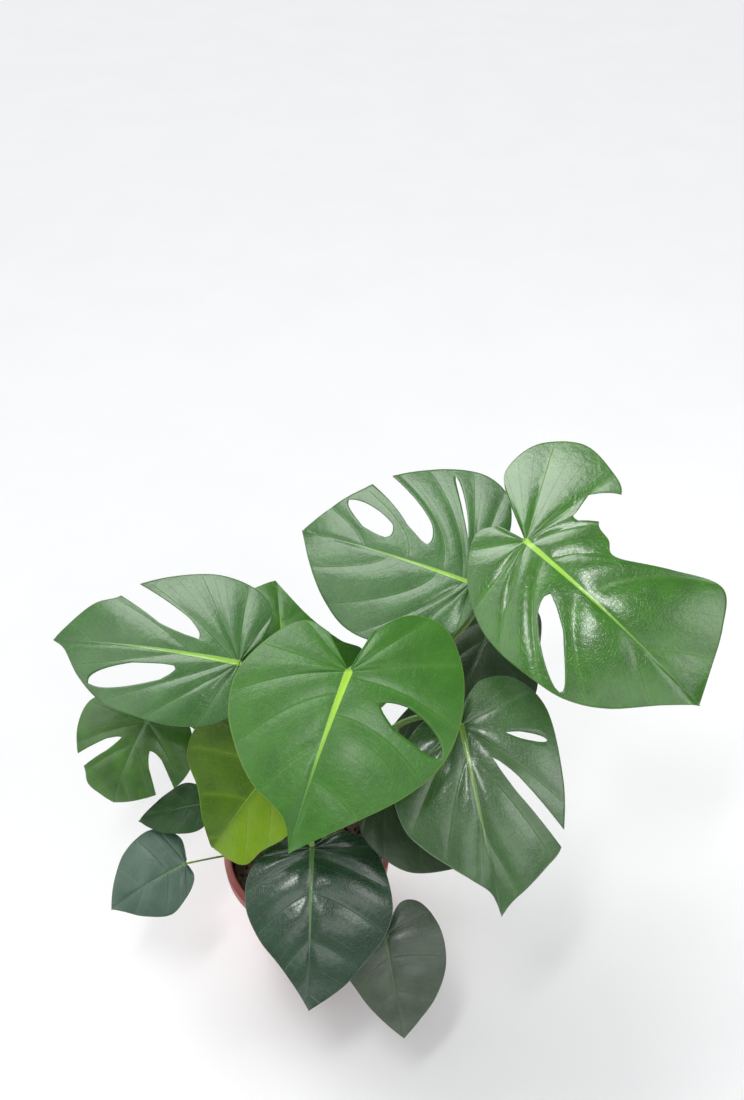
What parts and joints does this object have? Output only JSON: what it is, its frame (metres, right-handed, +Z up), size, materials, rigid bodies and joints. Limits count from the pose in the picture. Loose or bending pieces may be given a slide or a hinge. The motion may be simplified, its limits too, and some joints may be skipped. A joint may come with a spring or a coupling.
{
  "type": "potted monstera plant",
  "caption": "Bushy young monstera with heart-shaped and split leaves on arching petioles, growing from short stems in a round tapered nursery pot filled with soil.",
  "frame": {"origin": "centre of the pot's underside", "axes": "+Z up along the pot, -Y towards the front of the plant, +X to its right"},
  "size_m": [0.607, 0.4123, 0.4949],
  "materials": {
    "pot": "satin moulded plastic",
    "soil": "loose damp potting mix",
    "stem": "fibrous, ringed",
    "petiole": "smooth, slightly waxy",
    "leaf_green": "satin waxy",
    "leaf_sage": "satin waxy",
    "leaf_glossy": "glossy waxy",
    "leaf_dark": "satin waxy",
    "leaf_lime": "soft satin, young leaf",
    "leaf_blue": "satin waxy",
    "leaf_olive": "satin waxy"
  },
  "bodies": {
    "root": {"pot": "pot", "soil": "soil", "stem_left": "stem", "stem_right": "stem", "stem_front": "stem", "stem_back": "stem", "leaf_centre": "leaf_green", "leaf_left": "leaf_sage", "leaf_back": "leaf_sage", "leaf_upper_right": "leaf_glossy", "leaf_right": "leaf_sage", "leaf_lower_left": "leaf_dark", "leaf_lime": "leaf_lime", "leaf_small_left": "leaf_dark", "leaf_heart": "leaf_blue", "leaf_front": "leaf_blue", "leaf_young": "leaf_olive", "leaf_low_right": "leaf_dark", "leaf_back_left": "leaf_green", "leaf_shade": "leaf_dark", "petiole_centre": "petiole", "petiole_left": "petiole", "petiole_back": "petiole", "petiole_upper_right": "petiole", "petiole_right": "petiole", "petiole_lower_left": "petiole", "petiole_lime": "petiole", "petiole_small_left": "petiole", "petiole_heart": "petiole", "petiole_front": "petiole", "petiole_young": "petiole", "petiole_low_right": "petiole", "petiole_back_left": "petiole", "petiole_shade": "petiole"}
  },
  "joints": []
}
